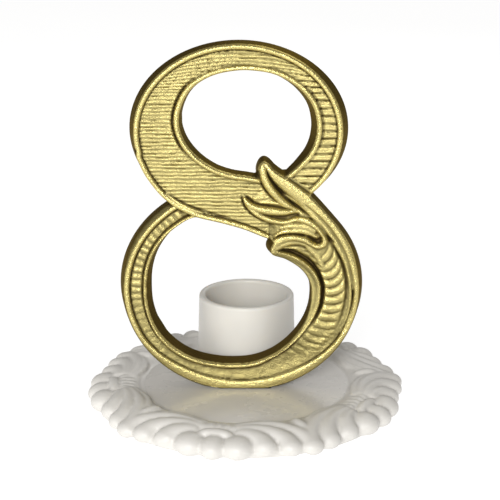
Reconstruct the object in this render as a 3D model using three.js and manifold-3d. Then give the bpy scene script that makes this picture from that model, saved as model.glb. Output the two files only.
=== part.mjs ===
// Table number holder: an ornate round base that carries a gilt figure eight and a candle cup.
// Millimetres, +Z up. The origin is on the table under the middle of the base, and the figure faces -Y.
import * as THREE from "three";
import { mergeVertices } from "three/addons/utils/BufferGeometryUtils.js";
import Module from "manifold-3d";

const wasm = await Module();
wasm.setup();

// ---------------------------------------------------------------- driving dimensions

const fitGap = 0.3; // clearance between pieces that touch or pass through each other
const roundSegments = 64; // steps round a large circle

// Backing pad under the base
const pad = { reach: 15.8, thickness: 2, edge: 0.4 }; // reach is measured from the edge of the disc

// Base casting: a smooth middle disc with a ring of scrolled leaf relief round it
const base = {
  discMargin: 0.2, // smooth disc left free behind the cup
  discTop: 7, // height of the disc above the table
  rimReach: 3.8, // where the relief starts, from the edge of the disc
  rimTop: 8.6,
  crestReach: 10.3, // highest line of the relief
  crestTop: 9.6,
  shoulderReach: 17.8,
  shoulderTop: 7.6,
  tipBlunting: 1.4, // how far the side of a lobe stands back above and below its tip
  tipHeight: 2.6, // height of the outermost point of a lobe
  tipTop: 5, // where the side of a lobe turns over into its top
  underside: 0.6, // height of the lobes' underside above the table
  units: 5, // repeats of the ornament
  firstUnit: -12, // turn of the first bow from -Y, in degrees, clockwise from above negative
  stepsPerUnit: 36,
};

// Lobes of half an ornament unit, from the middle of the bow to the middle of the leaf fan:
// turn from the bow and half width in degrees, reach of the tip from the edge of the disc, and rise
// of the crown above the lobe's edges
const lobes = [
  { turn: 0, halfWidth: 5.2, reach: 26.7, crown: 0.6 },
  { turn: 9.6, halfWidth: 5.4, reach: 26, crown: 1.2 },
  { turn: 19.6, halfWidth: 5.4, reach: 24.4, crown: 0.8 },
  { turn: 28.4, halfWidth: 4.6, reach: 25.8, crown: 0.7 },
  { turn: 36, halfWidth: 4.4, reach: 27.4, crown: 0.5 },
];
const scallopDepth = 2.2; // how far the outline draws in between two lobes
const reliefFade = { crown: 1, rim: 0.15 }; // share of the crown at the shoulder and at the rim

// Candle cup, its floor and its place behind the figure
const cup = {
  boreRadius: 20, // takes a tea light
  wall: 3.4,
  height: 36.1,
  floor: 6, // thick enough for the screw that holds the cup
  footFlare: 1.1, // the foot is wider than the rim by this much on each side
  lipRounding: 0.6,
  boreDraft: 0.5, // the bore is narrower at its floor by this much on each side
  gapToFigure: 1, // free space between the cup and the figure's back
};

// Figure eight. Heights are measured from its foot, and strokes are the widths between its edges.
const figure = {
  depth: 9.5, // front to back, without the rims and the leaf
  edgeBevel: 1.1,
  footWidth: 26,
  footHeight: 2.4,
  footShift: -0.45,
  lowerHalfWidth: 57.05,
  lowerHalfHeight: 50.6,
  lowerShift: -2.3,
  footSink: 0.7, // how much of the lower loop the flat foot cuts away
  upperHalfWidth: 49.95,
  upperHalfHeight: 40.6,
  upperShift: -3.35,
  loopOverlap: 16.9,
  lowerStrokes: { left: 14.9, right: 24.3, bottom: 14, top: 14.8 },
  upperStrokes: { left: 24.2, right: 16.2, bottom: 20.8, top: 13.1 },
  rimHeight: 1,
  outerRim: 3.4,
  innerRim: 2.6,
  rimInset: 1.6,
  leafRise: 2.2,
};

// Screws driven up from below into the cup and the figure
const screw = {
  shankRadius: 1.5,
  headRadius: 3.1,
  headHeight: 1.9,
  sinkBelowDisc: 0.2, // how far the head lies above the pad recess's ceiling
  biteInCup: 4,
  biteInFigure: 10,
  spacing: 14, // between the two screws of the figure
  segments: 20,
};

// Cement bed that fills a shallow pocket under the figure's foot
const bed = { thickness: 0.8, margin: 0.6 };

// ---------------------------------------------------------------- derived places

const recessCeiling = pad.thickness + fitGap;
const footHeight = base.discTop + fitGap; // height of the figure's foot and the cup's foot
const figureBackY = 0;
const figureMiddleY = figureBackY - figure.depth / 2;
const cupFootRadius = cup.boreRadius + cup.wall + cup.footFlare;
const cupY = figureBackY + cup.gapToFigure + cupFootRadius;
const cupFloorTop = footHeight + cup.floor;
const discRadius = cupY + cupFootRadius + base.discMargin;
const padRadius = discRadius + pad.reach;
const headBottom = recessCeiling + screw.sinkBelowDisc;
const lowerCentre = figure.lowerHalfHeight - figure.footSink;
const upperCentre = lowerCentre + figure.lowerHalfHeight + figure.upperHalfHeight - figure.loopOverlap;
const degree = Math.PI / 180;

// ---------------------------------------------------------------- solids and booleans

// A geometry's closed surface, with its shared corners merged, as a solid for joining and cutting
function solidOf(geometry) {
  const bare = geometry.clone();
  bare.deleteAttribute("normal");
  bare.deleteAttribute("uv");
  const merged = mergeVertices(bare, 1e-5);
  return new wasm.Manifold(new wasm.Mesh({
    numProp: 3,
    vertProperties: new Float32Array(merged.attributes.position.array),
    triVerts: new Uint32Array(merged.index.array),
  }));
}

function geometryOf(solid) {
  const mesh = solid.getMesh();
  const geometry = new THREE.BufferGeometry();
  geometry.setAttribute("position", new THREE.BufferAttribute(mesh.vertProperties, 3));
  geometry.setIndex(new THREE.BufferAttribute(mesh.triVerts, 1));
  return geometry;
}

// A solid turned about the Z axis from a profile of [radius, height] points, listed from the top down
function turned(profile, segments, x = 0, y = 0) {
  const points = profile.map(([radius, height]) => new THREE.Vector2(radius, height)).reverse();
  const geometry = new THREE.LatheGeometry(points, segments);
  geometry.rotateX(Math.PI / 2);
  geometry.translate(x, y, 0);
  return geometry;
}

// ---------------------------------------------------------------- base casting

// The lobe that stands out furthest at a turn from its unit's bow, and how near its middle the turn is
function lobeAt(turn) {
  let best = { radius: 0, crown: 0 };
  for (const lobe of lobes) {
    const across = (turn - lobe.turn) / lobe.halfWidth;
    const radius = discRadius + lobe.reach - scallopDepth * across * across;
    if (radius > best.radius) {
      best = { radius, crown: lobe.crown * (1 - across * across) };
    }
  }
  return best;
}

// Rings of the casting from the middle of its top, over the relief and round to its underside
function castingRings(turn) {
  const lobe = lobeAt(turn);
  const side = lobe.radius - base.tipBlunting;
  return [
    [discRadius, base.discTop],
    [discRadius + base.rimReach, base.rimTop + lobe.crown * reliefFade.rim],
    [discRadius + base.crestReach, base.crestTop + lobe.crown * (reliefFade.crown + reliefFade.rim) / 2],
    [discRadius + base.shoulderReach, base.shoulderTop + lobe.crown * reliefFade.crown],
    [side, base.tipTop],
    [lobe.radius, base.tipHeight],
    [side, base.underside],
    [padRadius + fitGap, base.underside],
    [padRadius + fitGap, recessCeiling],
  ];
}

function castingBlank() {
  const steps = base.units * base.stepsPerUnit;
  const unitTurn = 360 / base.units;
  const ringCount = castingRings(0).length;
  const positions = [0, 0, base.discTop];
  const triangles = [];
  for (let step = 0; step < steps; step += 1) {
    const turn = step * unitTurn / base.stepsPerUnit;
    const fromBow = Math.min(turn % unitTurn, unitTurn - turn % unitTurn);
    const angle = (turn + base.firstUnit - 90) * degree;
    for (const [radius, height] of castingRings(fromBow)) {
      positions.push(radius * Math.cos(angle), radius * Math.sin(angle), height);
    }
  }
  const bottomMiddle = positions.length / 3;
  positions.push(0, 0, recessCeiling);
  const corner = (step, ring) => 1 + (step % steps) * ringCount + ring;
  for (let step = 0; step < steps; step += 1) {
    triangles.push(0, corner(step, 0), corner(step + 1, 0));
    for (let ring = 0; ring < ringCount - 1; ring += 1) {
      const a = corner(step, ring);
      const b = corner(step + 1, ring);
      const c = corner(step + 1, ring + 1);
      const d = corner(step, ring + 1);
      triangles.push(a, d, c, a, c, b);
    }
    triangles.push(bottomMiddle, corner(step + 1, ringCount - 1), corner(step, ringCount - 1));
  }
  const geometry = new THREE.BufferGeometry();
  geometry.setAttribute("position", new THREE.Float32BufferAttribute(positions, 3));
  geometry.setIndex(triangles);
  return solidOf(geometry);
}

// Profile of a screw, or of the hole for it when it is given a clearance
function screwProfile(tipHeight, clearance) {
  const head = screw.headRadius + clearance;
  const shank = screw.shankRadius + clearance;
  const bottom = headBottom - (clearance > 0 ? headBottom - recessCeiling + 1 : 0);
  const headTop = headBottom + screw.headHeight + clearance;
  return [
    [0, tipHeight + clearance],
    [shank, tipHeight + clearance],
    [shank, headTop],
    [head, headBottom + clearance],
    [head, bottom],
    [0, bottom],
  ];
}

const cupScrewTip = footHeight + screw.biteInCup;
const figureScrewTip = footHeight + screw.biteInFigure;
const figureScrewXs = [-1, 1].map((side) => figure.footShift + side * screw.spacing / 2);

function screwHole(tipHeight, x, y) {
  return solidOf(turned(screwProfile(tipHeight, fitGap), screw.segments, x, y));
}

function bedBox(grow, bottom, top) {
  const width = figure.footWidth - 2 * bed.margin + 2 * grow;
  const depth = figure.depth - 2 * bed.margin + 2 * grow;
  const geometry = new THREE.BoxGeometry(width, depth, top - bottom);
  geometry.translate(figure.footShift, figureMiddleY, (top + bottom) / 2);
  return solidOf(geometry);
}

function baseCasting() {
  let solid = castingBlank();
  solid = solid.subtract(screwHole(cupScrewTip, 0, cupY));
  for (const x of figureScrewXs) {
    solid = solid.subtract(screwHole(figureScrewTip, x, figureMiddleY));
  }
  const pocketFloor = base.discTop - bed.thickness - fitGap;
  return geometryOf(solid.subtract(bedBox(fitGap, pocketFloor, base.discTop + 1)));
}

function cementBed() {
  let solid = bedBox(0, base.discTop - bed.thickness, base.discTop);
  for (const x of figureScrewXs) {
    solid = solid.subtract(screwHole(figureScrewTip, x, figureMiddleY));
  }
  return geometryOf(solid);
}

function backingPad() {
  return turned([
    [0, pad.thickness],
    [padRadius - pad.edge, pad.thickness],
    [padRadius, pad.thickness - pad.edge],
    [padRadius, 0],
    [0, 0],
  ], roundSegments);
}

// ---------------------------------------------------------------- candle cup

function candleCup() {
  const rim = footHeight + cup.height;
  const outer = cup.boreRadius + cup.wall;
  const rounding = cup.lipRounding;
  const body = turned([
    [0, cupFloorTop],
    [cup.boreRadius - cup.boreDraft, cupFloorTop],
    [cup.boreRadius, rim - rounding],
    [cup.boreRadius + rounding, rim],
    [outer - rounding, rim],
    [outer, rim - rounding],
    [cupFootRadius, footHeight],
    [0, footHeight],
  ], roundSegments, 0, cupY);
  return geometryOf(solidOf(body).subtract(screwHole(cupScrewTip, 0, cupY)));
}

// ---------------------------------------------------------------- figure eight

// An outline drawn in X and height, given its depth and stood up so that it faces -Y
function standing(shape, depth, backY, bevel = 0) {
  const geometry = new THREE.ExtrudeGeometry(shape, {
    depth: depth - 2 * bevel,
    bevelEnabled: bevel > 0,
    bevelThickness: bevel,
    bevelSize: bevel,
    bevelOffset: -bevel,
    bevelSegments: 2,
    curveSegments: 10,
  });
  geometry.translate(0, 0, bevel);
  geometry.rotateX(Math.PI / 2);
  geometry.translate(0, backY, footHeight);
  return solidOf(geometry);
}

function ovalShape(oval, inset = 0) {
  const corners = [];
  for (let step = 0; step < roundSegments; step += 1) {
    const angle = step * 2 * Math.PI / roundSegments;
    const x = oval.x + (oval.halfWidth - inset) * Math.cos(angle);
    const z = oval.z + (oval.halfHeight - inset) * Math.sin(angle);
    corners.push(new THREE.Vector2(x, z));
  }
  return new THREE.Shape(corners);
}

// The hole that a loop's four stroke widths leave
function holeIn(loop, strokes) {
  return {
    x: loop.x + (strokes.left - strokes.right) / 2,
    z: loop.z + (strokes.bottom - strokes.top) / 2,
    halfWidth: loop.halfWidth - (strokes.left + strokes.right) / 2,
    halfHeight: loop.halfHeight - (strokes.bottom + strokes.top) / 2,
  };
}

const lowerLoop = {
  x: figure.lowerShift,
  z: lowerCentre,
  halfWidth: figure.lowerHalfWidth,
  halfHeight: figure.lowerHalfHeight,
};
const upperLoop = {
  x: figure.upperShift,
  z: upperCentre,
  halfWidth: figure.upperHalfWidth,
  halfHeight: figure.upperHalfHeight,
};
const lowerHole = holeIn(lowerLoop, figure.lowerStrokes);
const upperHole = holeIn(upperLoop, figure.upperStrokes);

// A closed smooth outline through points given from a corner of the figure
function smoothShape(origin, points) {
  const corners = points.map(([x, z]) => new THREE.Vector2(origin.x + x, origin.z + z));
  const shape = new THREE.Shape();
  shape.moveTo(corners[0].x, corners[0].y);
  shape.splineThru(corners.slice(1));
  shape.closePath();
  return shape;
}

// The scroll that ends the upper stroke, hanging into the top right of the lower hole. Its points
// are given from the right end of that hole.
const scrollOrigin = { x: lowerHole.x + lowerHole.halfWidth, z: lowerHole.z };
const scrollPoints = [
  [4, -3], [-0.4, 1], [-3, 8], [-8, 12], [-18, 15.6], [-21.6, 19.5], [-20, 24],
  [-32, 29], [-48, 34], [-60, 39], [-40, 47], [-10, 41], [6, 21],
];

// The pointed leaf whose tip stands in the bottom of the upper hole, and whose body runs down the
// right-hand side. Its points are given from the bottom of that hole.
const leafOrigin = { x: upperHole.x, z: upperHole.z - upperHole.halfHeight };
const leafPoints = [
  [4.2, -1], [7.2, 6.6], [11.5, 2.6], [17, -3], [26, -10], [34, -18], [40, -28],
  [35, -32], [27, -26], [12, -18], [0, -13], [8, -9],
];

function figureEight() {
  const { depth, edgeBevel, rimHeight, rimInset } = figure;
  const back = figureBackY;
  const front = back - depth;
  const sunk = 0.5; // how deep raised parts root in the face
  let solid = standing(ovalShape(lowerLoop), depth, back, edgeBevel);
  solid = solid.add(standing(ovalShape(upperLoop), depth, back, edgeBevel));
  const face = solid;
  const scroll = standing(smoothShape(scrollOrigin, scrollPoints), depth, back, 0);
  const leaf = standing(smoothShape(leafOrigin, leafPoints), depth + figure.leafRise, back, 0);
  let rims = null;
  for (const loop of [lowerLoop, upperLoop]) {
    const band = standing(ovalShape(loop, rimInset), rimHeight + sunk, front + sunk)
      .subtract(standing(ovalShape(loop, rimInset + figure.outerRim), depth, front + depth / 2));
    rims = rims === null ? band : rims.add(band);
  }
  // the upper loop runs over the lower one where they cross
  const upperInside = standing(ovalShape(upperLoop, rimInset + figure.outerRim), depth, front + depth / 2);
  const lowerInside = standing(ovalShape(lowerLoop, rimInset + figure.outerRim), depth, front + depth / 2);
  rims = rims.subtract(upperInside.intersect(lowerInside));
  for (const hole of [lowerHole, upperHole]) {
    rims = rims.add(standing(ovalShape(hole, -figure.innerRim), rimHeight + sunk, front + sunk));
  }
  solid = solid.add(rims);
  for (const hole of [lowerHole, upperHole]) {
    solid = solid.subtract(standing(ovalShape(hole), 3 * depth, back + depth));
  }
  solid = solid.add(scroll.intersect(face)).add(leaf);
  const foot = new THREE.BoxGeometry(figure.footWidth, depth, figure.footHeight);
  foot.translate(figure.footShift, figureMiddleY, footHeight + figure.footHeight / 2);
  solid = solid.add(solidOf(foot));
  const below = new THREE.BoxGeometry(2 * figure.lowerHalfWidth, 4 * depth, footHeight);
  below.translate(figure.footShift, figureMiddleY, footHeight / 2);
  solid = solid.subtract(solidOf(below));
  for (const x of figureScrewXs) {
    solid = solid.subtract(screwHole(figureScrewTip, x, figureMiddleY));
  }
  return geometryOf(solid);
}

// ---------------------------------------------------------------- assembly

const plaster = { color: 0xe9e6df, roughness: 0.6, metalness: 0 };
const cupPlastic = { color: 0xf1efea, roughness: 0.35, metalness: 0 };
const gilt = { color: 0xc9ac4a, roughness: 0.3, metalness: 1 };
const cement = { color: 0x5a3f1c, roughness: 0.7, metalness: 0 };
const felt = { color: 0x57564f, roughness: 0.95, metalness: 0 };
const steel = { color: 0xb9bcc0, roughness: 0.35, metalness: 1 };

const holder = new THREE.Group();

function addPiece(name, geometry, finish) {
  const mesh = new THREE.Mesh(geometry, new THREE.MeshStandardMaterial(finish));
  mesh.name = name;
  holder.add(mesh);
}

addPiece("base_pad", backingPad(), felt);
addPiece("base_rosette", baseCasting(), plaster);
addPiece("candle_cup", candleCup(), cupPlastic);
addPiece("cup_screw", turned(screwProfile(cupScrewTip, 0), screw.segments, 0, cupY), steel);
addPiece("figure_cement_bed", cementBed(), cement);
addPiece("figure_eight", figureEight(), gilt);
["left", "right"].forEach((side, index) => {
  const shape = turned(screwProfile(figureScrewTip, 0), screw.segments, figureScrewXs[index], figureMiddleY);
  addPiece(`figure_screw_${side}`, shape, steel);
});

export default holder;
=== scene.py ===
"""Table number holder: a gilt figure eight and a candle cup on a white ornate base.

Lengths inside the drawing helpers are millimetres, with x from the middle of the base and z from
the table. Blender objects are in metres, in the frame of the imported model.
"""

import math

import bpy
import numpy as np
from bpy.props import FloatProperty, FloatVectorProperty, IntProperty
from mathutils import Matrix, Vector
from mathutils.geometry import delaunay_2d_cdt


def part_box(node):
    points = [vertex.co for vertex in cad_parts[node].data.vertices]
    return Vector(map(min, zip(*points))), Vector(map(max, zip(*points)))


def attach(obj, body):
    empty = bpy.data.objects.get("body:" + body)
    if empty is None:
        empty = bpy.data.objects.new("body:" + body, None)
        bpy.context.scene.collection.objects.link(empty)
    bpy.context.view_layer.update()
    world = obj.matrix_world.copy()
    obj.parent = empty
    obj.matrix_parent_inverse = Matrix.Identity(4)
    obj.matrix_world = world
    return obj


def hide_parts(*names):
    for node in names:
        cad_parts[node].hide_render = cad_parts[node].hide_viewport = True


bl_info = {
    "name": "Table Number Holder",
    "version": (1, 0, 0),
    "blender": (4, 5, 0),
    "location": "3D View > Sidebar > Holder",
    "description": "Models a gilt figure eight and a candle cup on an ornate white base",
    "category": "Object",
}

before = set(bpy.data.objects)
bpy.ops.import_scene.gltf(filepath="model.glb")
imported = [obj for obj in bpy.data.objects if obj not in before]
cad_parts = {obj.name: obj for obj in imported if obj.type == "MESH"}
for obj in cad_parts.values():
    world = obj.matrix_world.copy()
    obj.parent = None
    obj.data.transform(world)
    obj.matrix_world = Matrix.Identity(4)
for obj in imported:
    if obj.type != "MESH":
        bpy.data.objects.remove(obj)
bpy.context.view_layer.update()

MM = 0.001

FIGURE_LOW, FIGURE_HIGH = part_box("figure_eight")
PAD_LOW, PAD_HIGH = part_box("base_pad")
CUP_LOW, CUP_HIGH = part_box("candle_cup")

FOOT_LINE = FIGURE_LOW.z / MM
LEAF_RISE = 2.2
FACE_DEPTH = (FIGURE_HIGH.y - FIGURE_LOW.y) / MM - LEAF_RISE


# ------------------------------------------------------------------ settings


class FigureSettings(bpy.types.PropertyGroup):
    pitch: FloatProperty(
        name="Face grid",
        description="Spacing of the grid that the face of the figure is carved from",
        default=0.00037,
        unit="LENGTH",
        precision=5,
    )
    gold: FloatVectorProperty(
        name="Gilding",
        description="Colour of the polished gilding",
        default=(0.50, 0.422, 0.168),
        subtype="COLOR",
    )
    # The darkest colour of the painted shade, put in the cuts, on the sides and at the foot of the figure.
    shade_colour: FloatVectorProperty(
        name="Patina",
        description="Colour left in the recesses and on the sides",
        default=(0.078, 0.054, 0.020),
        subtype="COLOR",
    )
    roughness: FloatProperty(
        name="Gilding roughness",
        description="Roughness of the polished gilding",
        default=0.25,
        subtype="FACTOR",
    )


class BaseSettings(bpy.types.PropertyGroup):
    voxel: FloatProperty(
        name="Detail",
        description="Size of the smallest relief kept on the base",
        default=0.0007,
        unit="LENGTH",
        precision=5,
    )
    units: IntProperty(
        name="Repeats",
        description="How many times the ornament goes round the base",
        default=5,
    )
    first_bow: FloatProperty(
        name="First bow",
        description="Turn of the first bow from the front of the base",
        default=math.radians(-12),
        subtype="ANGLE",
    )
    white: FloatVectorProperty(
        name="Casting",
        description="Colour of the white casting",
        default=(0.66, 0.64, 0.60),
        subtype="COLOR",
    )
    felt: FloatVectorProperty(
        name="Felt",
        description="Colour of the backing pad",
        default=(0.12, 0.115, 0.10),
        subtype="COLOR",
    )


class CupSettings(bpy.types.PropertyGroup):
    steps: IntProperty(
        name="Steps",
        description="Steps round the candle cup",
        default=128,
    )
    white: FloatVectorProperty(
        name="Cup",
        description="Colour of the milky cup",
        default=(0.69, 0.67, 0.62),
        subtype="COLOR",
    )


class StudioSettings(bpy.types.PropertyGroup):
    lens: FloatProperty(
        name="Lens",
        description="Focal length of the camera in millimetres",
        default=96.27,
    )
    tilt: FloatProperty(
        name="Tilt",
        description="How far the camera looks down",
        default=0.299,
        subtype="ANGLE",
    )
    eye: FloatVectorProperty(
        name="Camera place",
        description="Where the camera stands",
        default=(0.001752, -0.600, 0.258353),
        subtype="TRANSLATION",
        unit="LENGTH",
    )
    floor: FloatVectorProperty(
        name="Floor",
        description="Colour of the floor",
        default=(0.36, 0.36, 0.36),
        subtype="COLOR",
    )
    glow: FloatProperty(
        name="Floor glow",
        description="Light that the translucent floor sheet gives off",
        default=0.82,
    )


# ------------------------------------------------------------------ small tools


def deselect_all():
    if bpy.context.object is not None and bpy.context.object.mode != "OBJECT":
        bpy.ops.object.mode_set(mode="OBJECT")
    bpy.ops.object.select_all(action="DESELECT")


def make_active(piece):
    deselect_all()
    piece.select_set(True)
    bpy.context.view_layer.objects.active = piece


def new_piece(name):
    """The object that an add operator has just made, named and with a mesh of the same name."""
    piece = bpy.context.object
    piece.name = name
    piece.data.name = name
    return piece


def settle(piece):
    """Puts a piece's place into its mesh, and its object at the origin."""
    make_active(piece)
    bpy.ops.object.transform_apply(location=True, rotation=True, scale=True)


def join(pieces, name):
    deselect_all()
    for piece in pieces:
        piece.select_set(True)
    bpy.context.view_layer.objects.active = pieces[0]
    bpy.ops.object.join()
    return new_piece(name)


def apply_modifier(piece, kind, **settings):
    make_active(piece)
    modifier = piece.modifiers.new(kind.title(), kind)
    for key, value in settings.items():
        setattr(modifier, key, value)
    bpy.ops.object.modifier_apply(modifier=modifier.name)


def points_of(piece):
    found = np.empty(len(piece.data.vertices) * 3)
    piece.data.vertices.foreach_get("co", found)
    return found.reshape(-1, 3)


def set_points(piece, points):
    piece.data.vertices.foreach_set("co", np.ascontiguousarray(points, dtype=np.float32).ravel())
    piece.data.update()


def outward(piece):
    """Merges doubles and turns every face of a closed piece outwards."""
    make_active(piece)
    bpy.ops.object.mode_set(mode="EDIT")
    bpy.ops.mesh.select_all(action="SELECT")
    bpy.ops.mesh.remove_doubles(threshold=1e-6)
    bpy.ops.mesh.normals_make_consistent(inside=False)
    bpy.ops.object.mode_set(mode="OBJECT")


def smooth(piece, angle=40):
    make_active(piece)
    bpy.ops.object.shade_smooth_by_angle(angle=math.radians(angle))


def finish_piece(piece, material, slot, *nodes):
    piece.data.materials.clear()
    piece.data.materials.append(material)
    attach(piece, "root")
    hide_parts(*nodes)


# ------------------------------------------------------------------ drawing helpers


def spline(rows, closed=False, steps=8):
    """A smooth line through rows of x, z and any further values, as an array of corners."""
    rows = np.array(rows, float)
    if closed:
        before, start = np.roll(rows, 1, 0), rows
        after, beyond = np.roll(rows, -1, 0), np.roll(rows, -2, 0)
    else:
        padded = np.vstack([2 * rows[0] - rows[1], rows, 2 * rows[-1] - rows[-2]])
        before, start, after, beyond = padded[:-3], padded[1:-2], padded[2:-1], padded[3:]
    a, b, c, d = (part[:, None, :] for part in (before, start, after, beyond))
    t = np.linspace(0, 1, steps, endpoint=False)[None, :, None]
    line = 2 * b + (c - a) * t + (2 * a - 5 * b + 4 * c - d) * t**2 + (3 * b - a - 3 * c + d) * t**3
    line = (line / 2).reshape(-1, rows.shape[1])
    return np.vstack([line, line[:1] if closed else rows[-1:]])


def nearest(x, z, line):
    """How far each point is from a line, and how far along the line, in corners, it is nearest."""
    best = np.full(x.shape, 1e9)
    along = np.zeros(x.shape)
    for number in range(len(line) - 1):
        ax, az = line[number, :2]
        dx, dz = line[number + 1, :2] - line[number, :2]
        length = max(dx * dx + dz * dz, 1e-12)
        share = np.clip(((x - ax) * dx + (z - az) * dz) / length, 0, 1)
        gap = (x - ax - share * dx) ** 2 + (z - az - share * dz) ** 2
        closer = gap < best
        best[closer] = gap[closer]
        along[closer] = number + share[closer]
    return np.sqrt(best), along


def inside_of(x, z, loop):
    """Distance to a closed line, positive inside it."""
    gap, _ = nearest(x, z, loop)
    odd = np.zeros(x.shape, bool)
    for (ax, az), (bx, bz) in zip(loop[:-1, :2], loop[1:, :2]):
        if az != bz:
            crosses = (az > z) != (bz > z)
            odd ^= crosses & (x < (bx - ax) * (z - az) / (bz - az) + ax)
    return np.where(odd, gap, -gap)


def inside_oval(x, z, oval):
    """Distance to the edge of an oval (x, z, half width, half height), positive inside it."""
    middle_x, middle_z, half_width, half_height = oval
    u = (x - middle_x) / half_width
    v = (z - middle_z) / half_height
    size = np.hypot(u, v)
    slope = np.maximum(np.hypot(u / half_width, v / half_height), 1e-6)
    return size * (1 - size) / slope


def soft_max(a, b, blend):
    mix = np.clip(0.5 + 0.5 * (a - b) / blend, 0, 1)
    return b + (a - b) * mix + blend * mix * (1 - mix)


def soft_min(a, b, blend):
    return -soft_max(-a, -b, blend)


def step(low, high, value):
    """Runs smoothly from 0 at low to 1 at high."""
    share = np.clip((value - low) / (high - low), 0, 1)
    return share * share * (3 - 2 * share)


def wobble(x, z, seed):
    """A gentle uneven wave between about -1 and 1, the same on every run."""
    total = 0
    for number, (fx, fz) in enumerate(((0.31, 0.17), (-0.23, 0.41), (0.67, -0.29), (0.13, 0.83))):
        total = total + np.sin(fx * x + fz * z + seed * (1.7 + number)) / (1.6 + 0.5 * number)
    return total / 1.4


# ------------------------------------------------------------------ figure eight: outline

# Ovals of the loops as (x, z, half width, half height), at the face and at the back
UPPER_LOOP = ((-3.58, 131.3, 47.33, 40.2), (-3.35, 131.5, 49.95, 40.6))
LOWER_LOOP = ((-2.35, 56.6, 55.4, 51.9), (-2.3, 57.2, 57.05, 50.6))
LOWER_FACE = (-2.25, 56.5, 54.6, 49.9)  # where the rounded shoulder of the lower loop begins

# Edge of the upper hole at the face, and how far the hole closes in towards the back
UPPER_HOLE = spline([
    (-30.3, 135.5), (-29.0, 143.6), (-24.3, 151.4), (-15.5, 157.0), (-5.0, 159.4), (4.0, 159.4),
    (13.5, 157.5), (22.6, 152.4), (29.3, 144.8), (31.9, 136.0), (31.3, 128.4), (28.6, 122.2),
    (24.6, 117.4), (20.4, 113.4), (16.8, 111.0), (8.0, 110.3), (0.0, 111.5), (-7.0, 112.6),
    (-14.5, 115.2), (-22.0, 120.3), (-27.7, 127.3),
], closed=True)
# Lower edge of the band that runs down from the upper loop to the scroll
BAND_EDGE = [
    (-46.0, 127.5), (-49.7, 121.6), (-48.3, 116.4), (-45.2, 110.2), (-39.0, 102.0), (-32.8, 96.9),
    (-26.5, 93.5), (-20.5, 91.1), (-11.5, 89.0), (-1.5, 86.1), (6.0, 83.1), (10.5, 81.3),
]
BAND = spline(BAND_EDGE + [(22.0, 80.0), (36.0, 84.0), (34.0, 96.0), (10.0, 110.0), (-12.0, 124.0),
                           (-36.0, 130.0)], closed=True)
BAND_DRAFT = 1.0
UPPER_DRAFT = {"left": 1.1, "right": 2.4, "top": 0.9, "bottom": 0.1}

# Edge of the lower hole at the face, with the knob of the scroll and the lip of the leaf
LOWER_HOLE = spline([
    (-46.5, 57.0), (-45.6, 66.5), (-42.3, 75.5), (-36.5, 83.4), (-29.5, 89.0), (-24.0, 91.6),
    (-19.5, 91.0), (-11.5, 89.0), (-1.5, 86.1), (6.0, 83.1), (11.6, 81.2), (12.6, 79.6),
    (11.4, 76.4), (12.6, 73.4), (18.5, 71.3), (24.8, 67.2), (28.7, 62.2), (30.4, 56.5),
    (29.8, 47.5), (26.6, 39.0), (20.8, 31.0), (13.0, 24.6), (4.0, 20.8), (-5.0, 19.7),
    (-15.0, 20.3), (-26.0, 23.2), (-35.2, 29.0), (-42.0, 37.2), (-45.7, 47.0),
], closed=True)
LOWER_DRAFT = {"left": 1.9, "right": 0.6, "top": 0.8, "bottom": 0.7}
KNOB = {"x": 11.0, "z": 77.0, "reach": 4.2, "draft": 2.2}  # the blunt end of the scroll

# The leaf that crosses from the upper loop to the right of the lower one
LEAF = spline([
    (5.3, 111.5), (5.7, 115.8), (7.7, 118.3), (10.0, 117.3), (12.4, 114.7), (15.2, 112.5),
    (18.4, 110.5), (22.0, 107.9), (26.2, 104.7), (30.6, 100.8), (35.2, 95.8), (40.2, 89.8),
    (45.0, 82.4), (48.8, 74.4), (44.0, 74.0), (34.0, 88.0), (18.0, 96.0), (9.0, 104.0),
], closed=True)
LEAF_DRAFT = 0.8
FOOT = (-13.4, 12.5)  # left and right ends of the flat foot
FOOT_TOP = 11.0
WAIST_ROUNDING = 0.7


def draft_of(x, z, loop, drafts):
    """How far a hole closes in towards the back, by the side of the hole that a point is on."""
    low, high = loop[:, :2].min(0), loop[:, :2].max(0)
    middle, half = (low + high) / 2, (high - low) / 2
    across = (x - middle[0]) / half[0]
    up = (z - middle[1]) / half[1]
    size = np.maximum(across * across + up * up, 1e-6)
    sides = (
        np.maximum(-across, 0) ** 2 * drafts["left"]
        + np.maximum(across, 0) ** 2 * drafts["right"]
        + np.maximum(-up, 0) ** 2 * drafts["bottom"]
        + np.maximum(up, 0) ** 2 * drafts["top"]
    )
    return sides / size


def blend_oval(pair, depth):
    front, back = np.array(pair[0]), np.array(pair[1])
    return front + (back - front) * depth


def inside_figure(x, z, depth):
    """Distance to the edge of the figure, positive in the metal, at depth 0 (face) to 1 (back)."""
    band = inside_of(x, z, BAND) + BAND_DRAFT * depth
    upper_edge = soft_max(inside_oval(x, z, blend_oval(UPPER_LOOP, depth)), band, 1.0)
    edge = soft_max(upper_edge, inside_oval(x, z, blend_oval(LOWER_LOOP, depth)), WAIST_ROUNDING)
    leaf = inside_of(x, z, LEAF) + LEAF_DRAFT * depth
    edge = soft_max(edge, leaf, 0.6)
    foot = np.minimum(np.minimum(x - FOOT[0], FOOT[1] - x), FOOT_TOP - z)
    edge = soft_max(edge, foot - 0.3 * (1 - depth), 0.5)
    upper = inside_of(x, z, UPPER_HOLE) - depth * draft_of(x, z, UPPER_HOLE, UPPER_DRAFT)
    knob = np.exp(-((x - KNOB["x"]) ** 2 + (z - KNOB["z"]) ** 2) / KNOB["reach"] ** 2)
    draft = draft_of(x, z, LOWER_HOLE, LOWER_DRAFT) + KNOB["draft"] * knob
    lower = inside_of(x, z, LOWER_HOLE) - depth * draft
    upper = soft_min(upper, -leaf, 0.6)
    edge = np.minimum(edge, np.minimum(-upper, -lower))
    return np.minimum(edge, z - FOOT_LINE)


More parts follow.
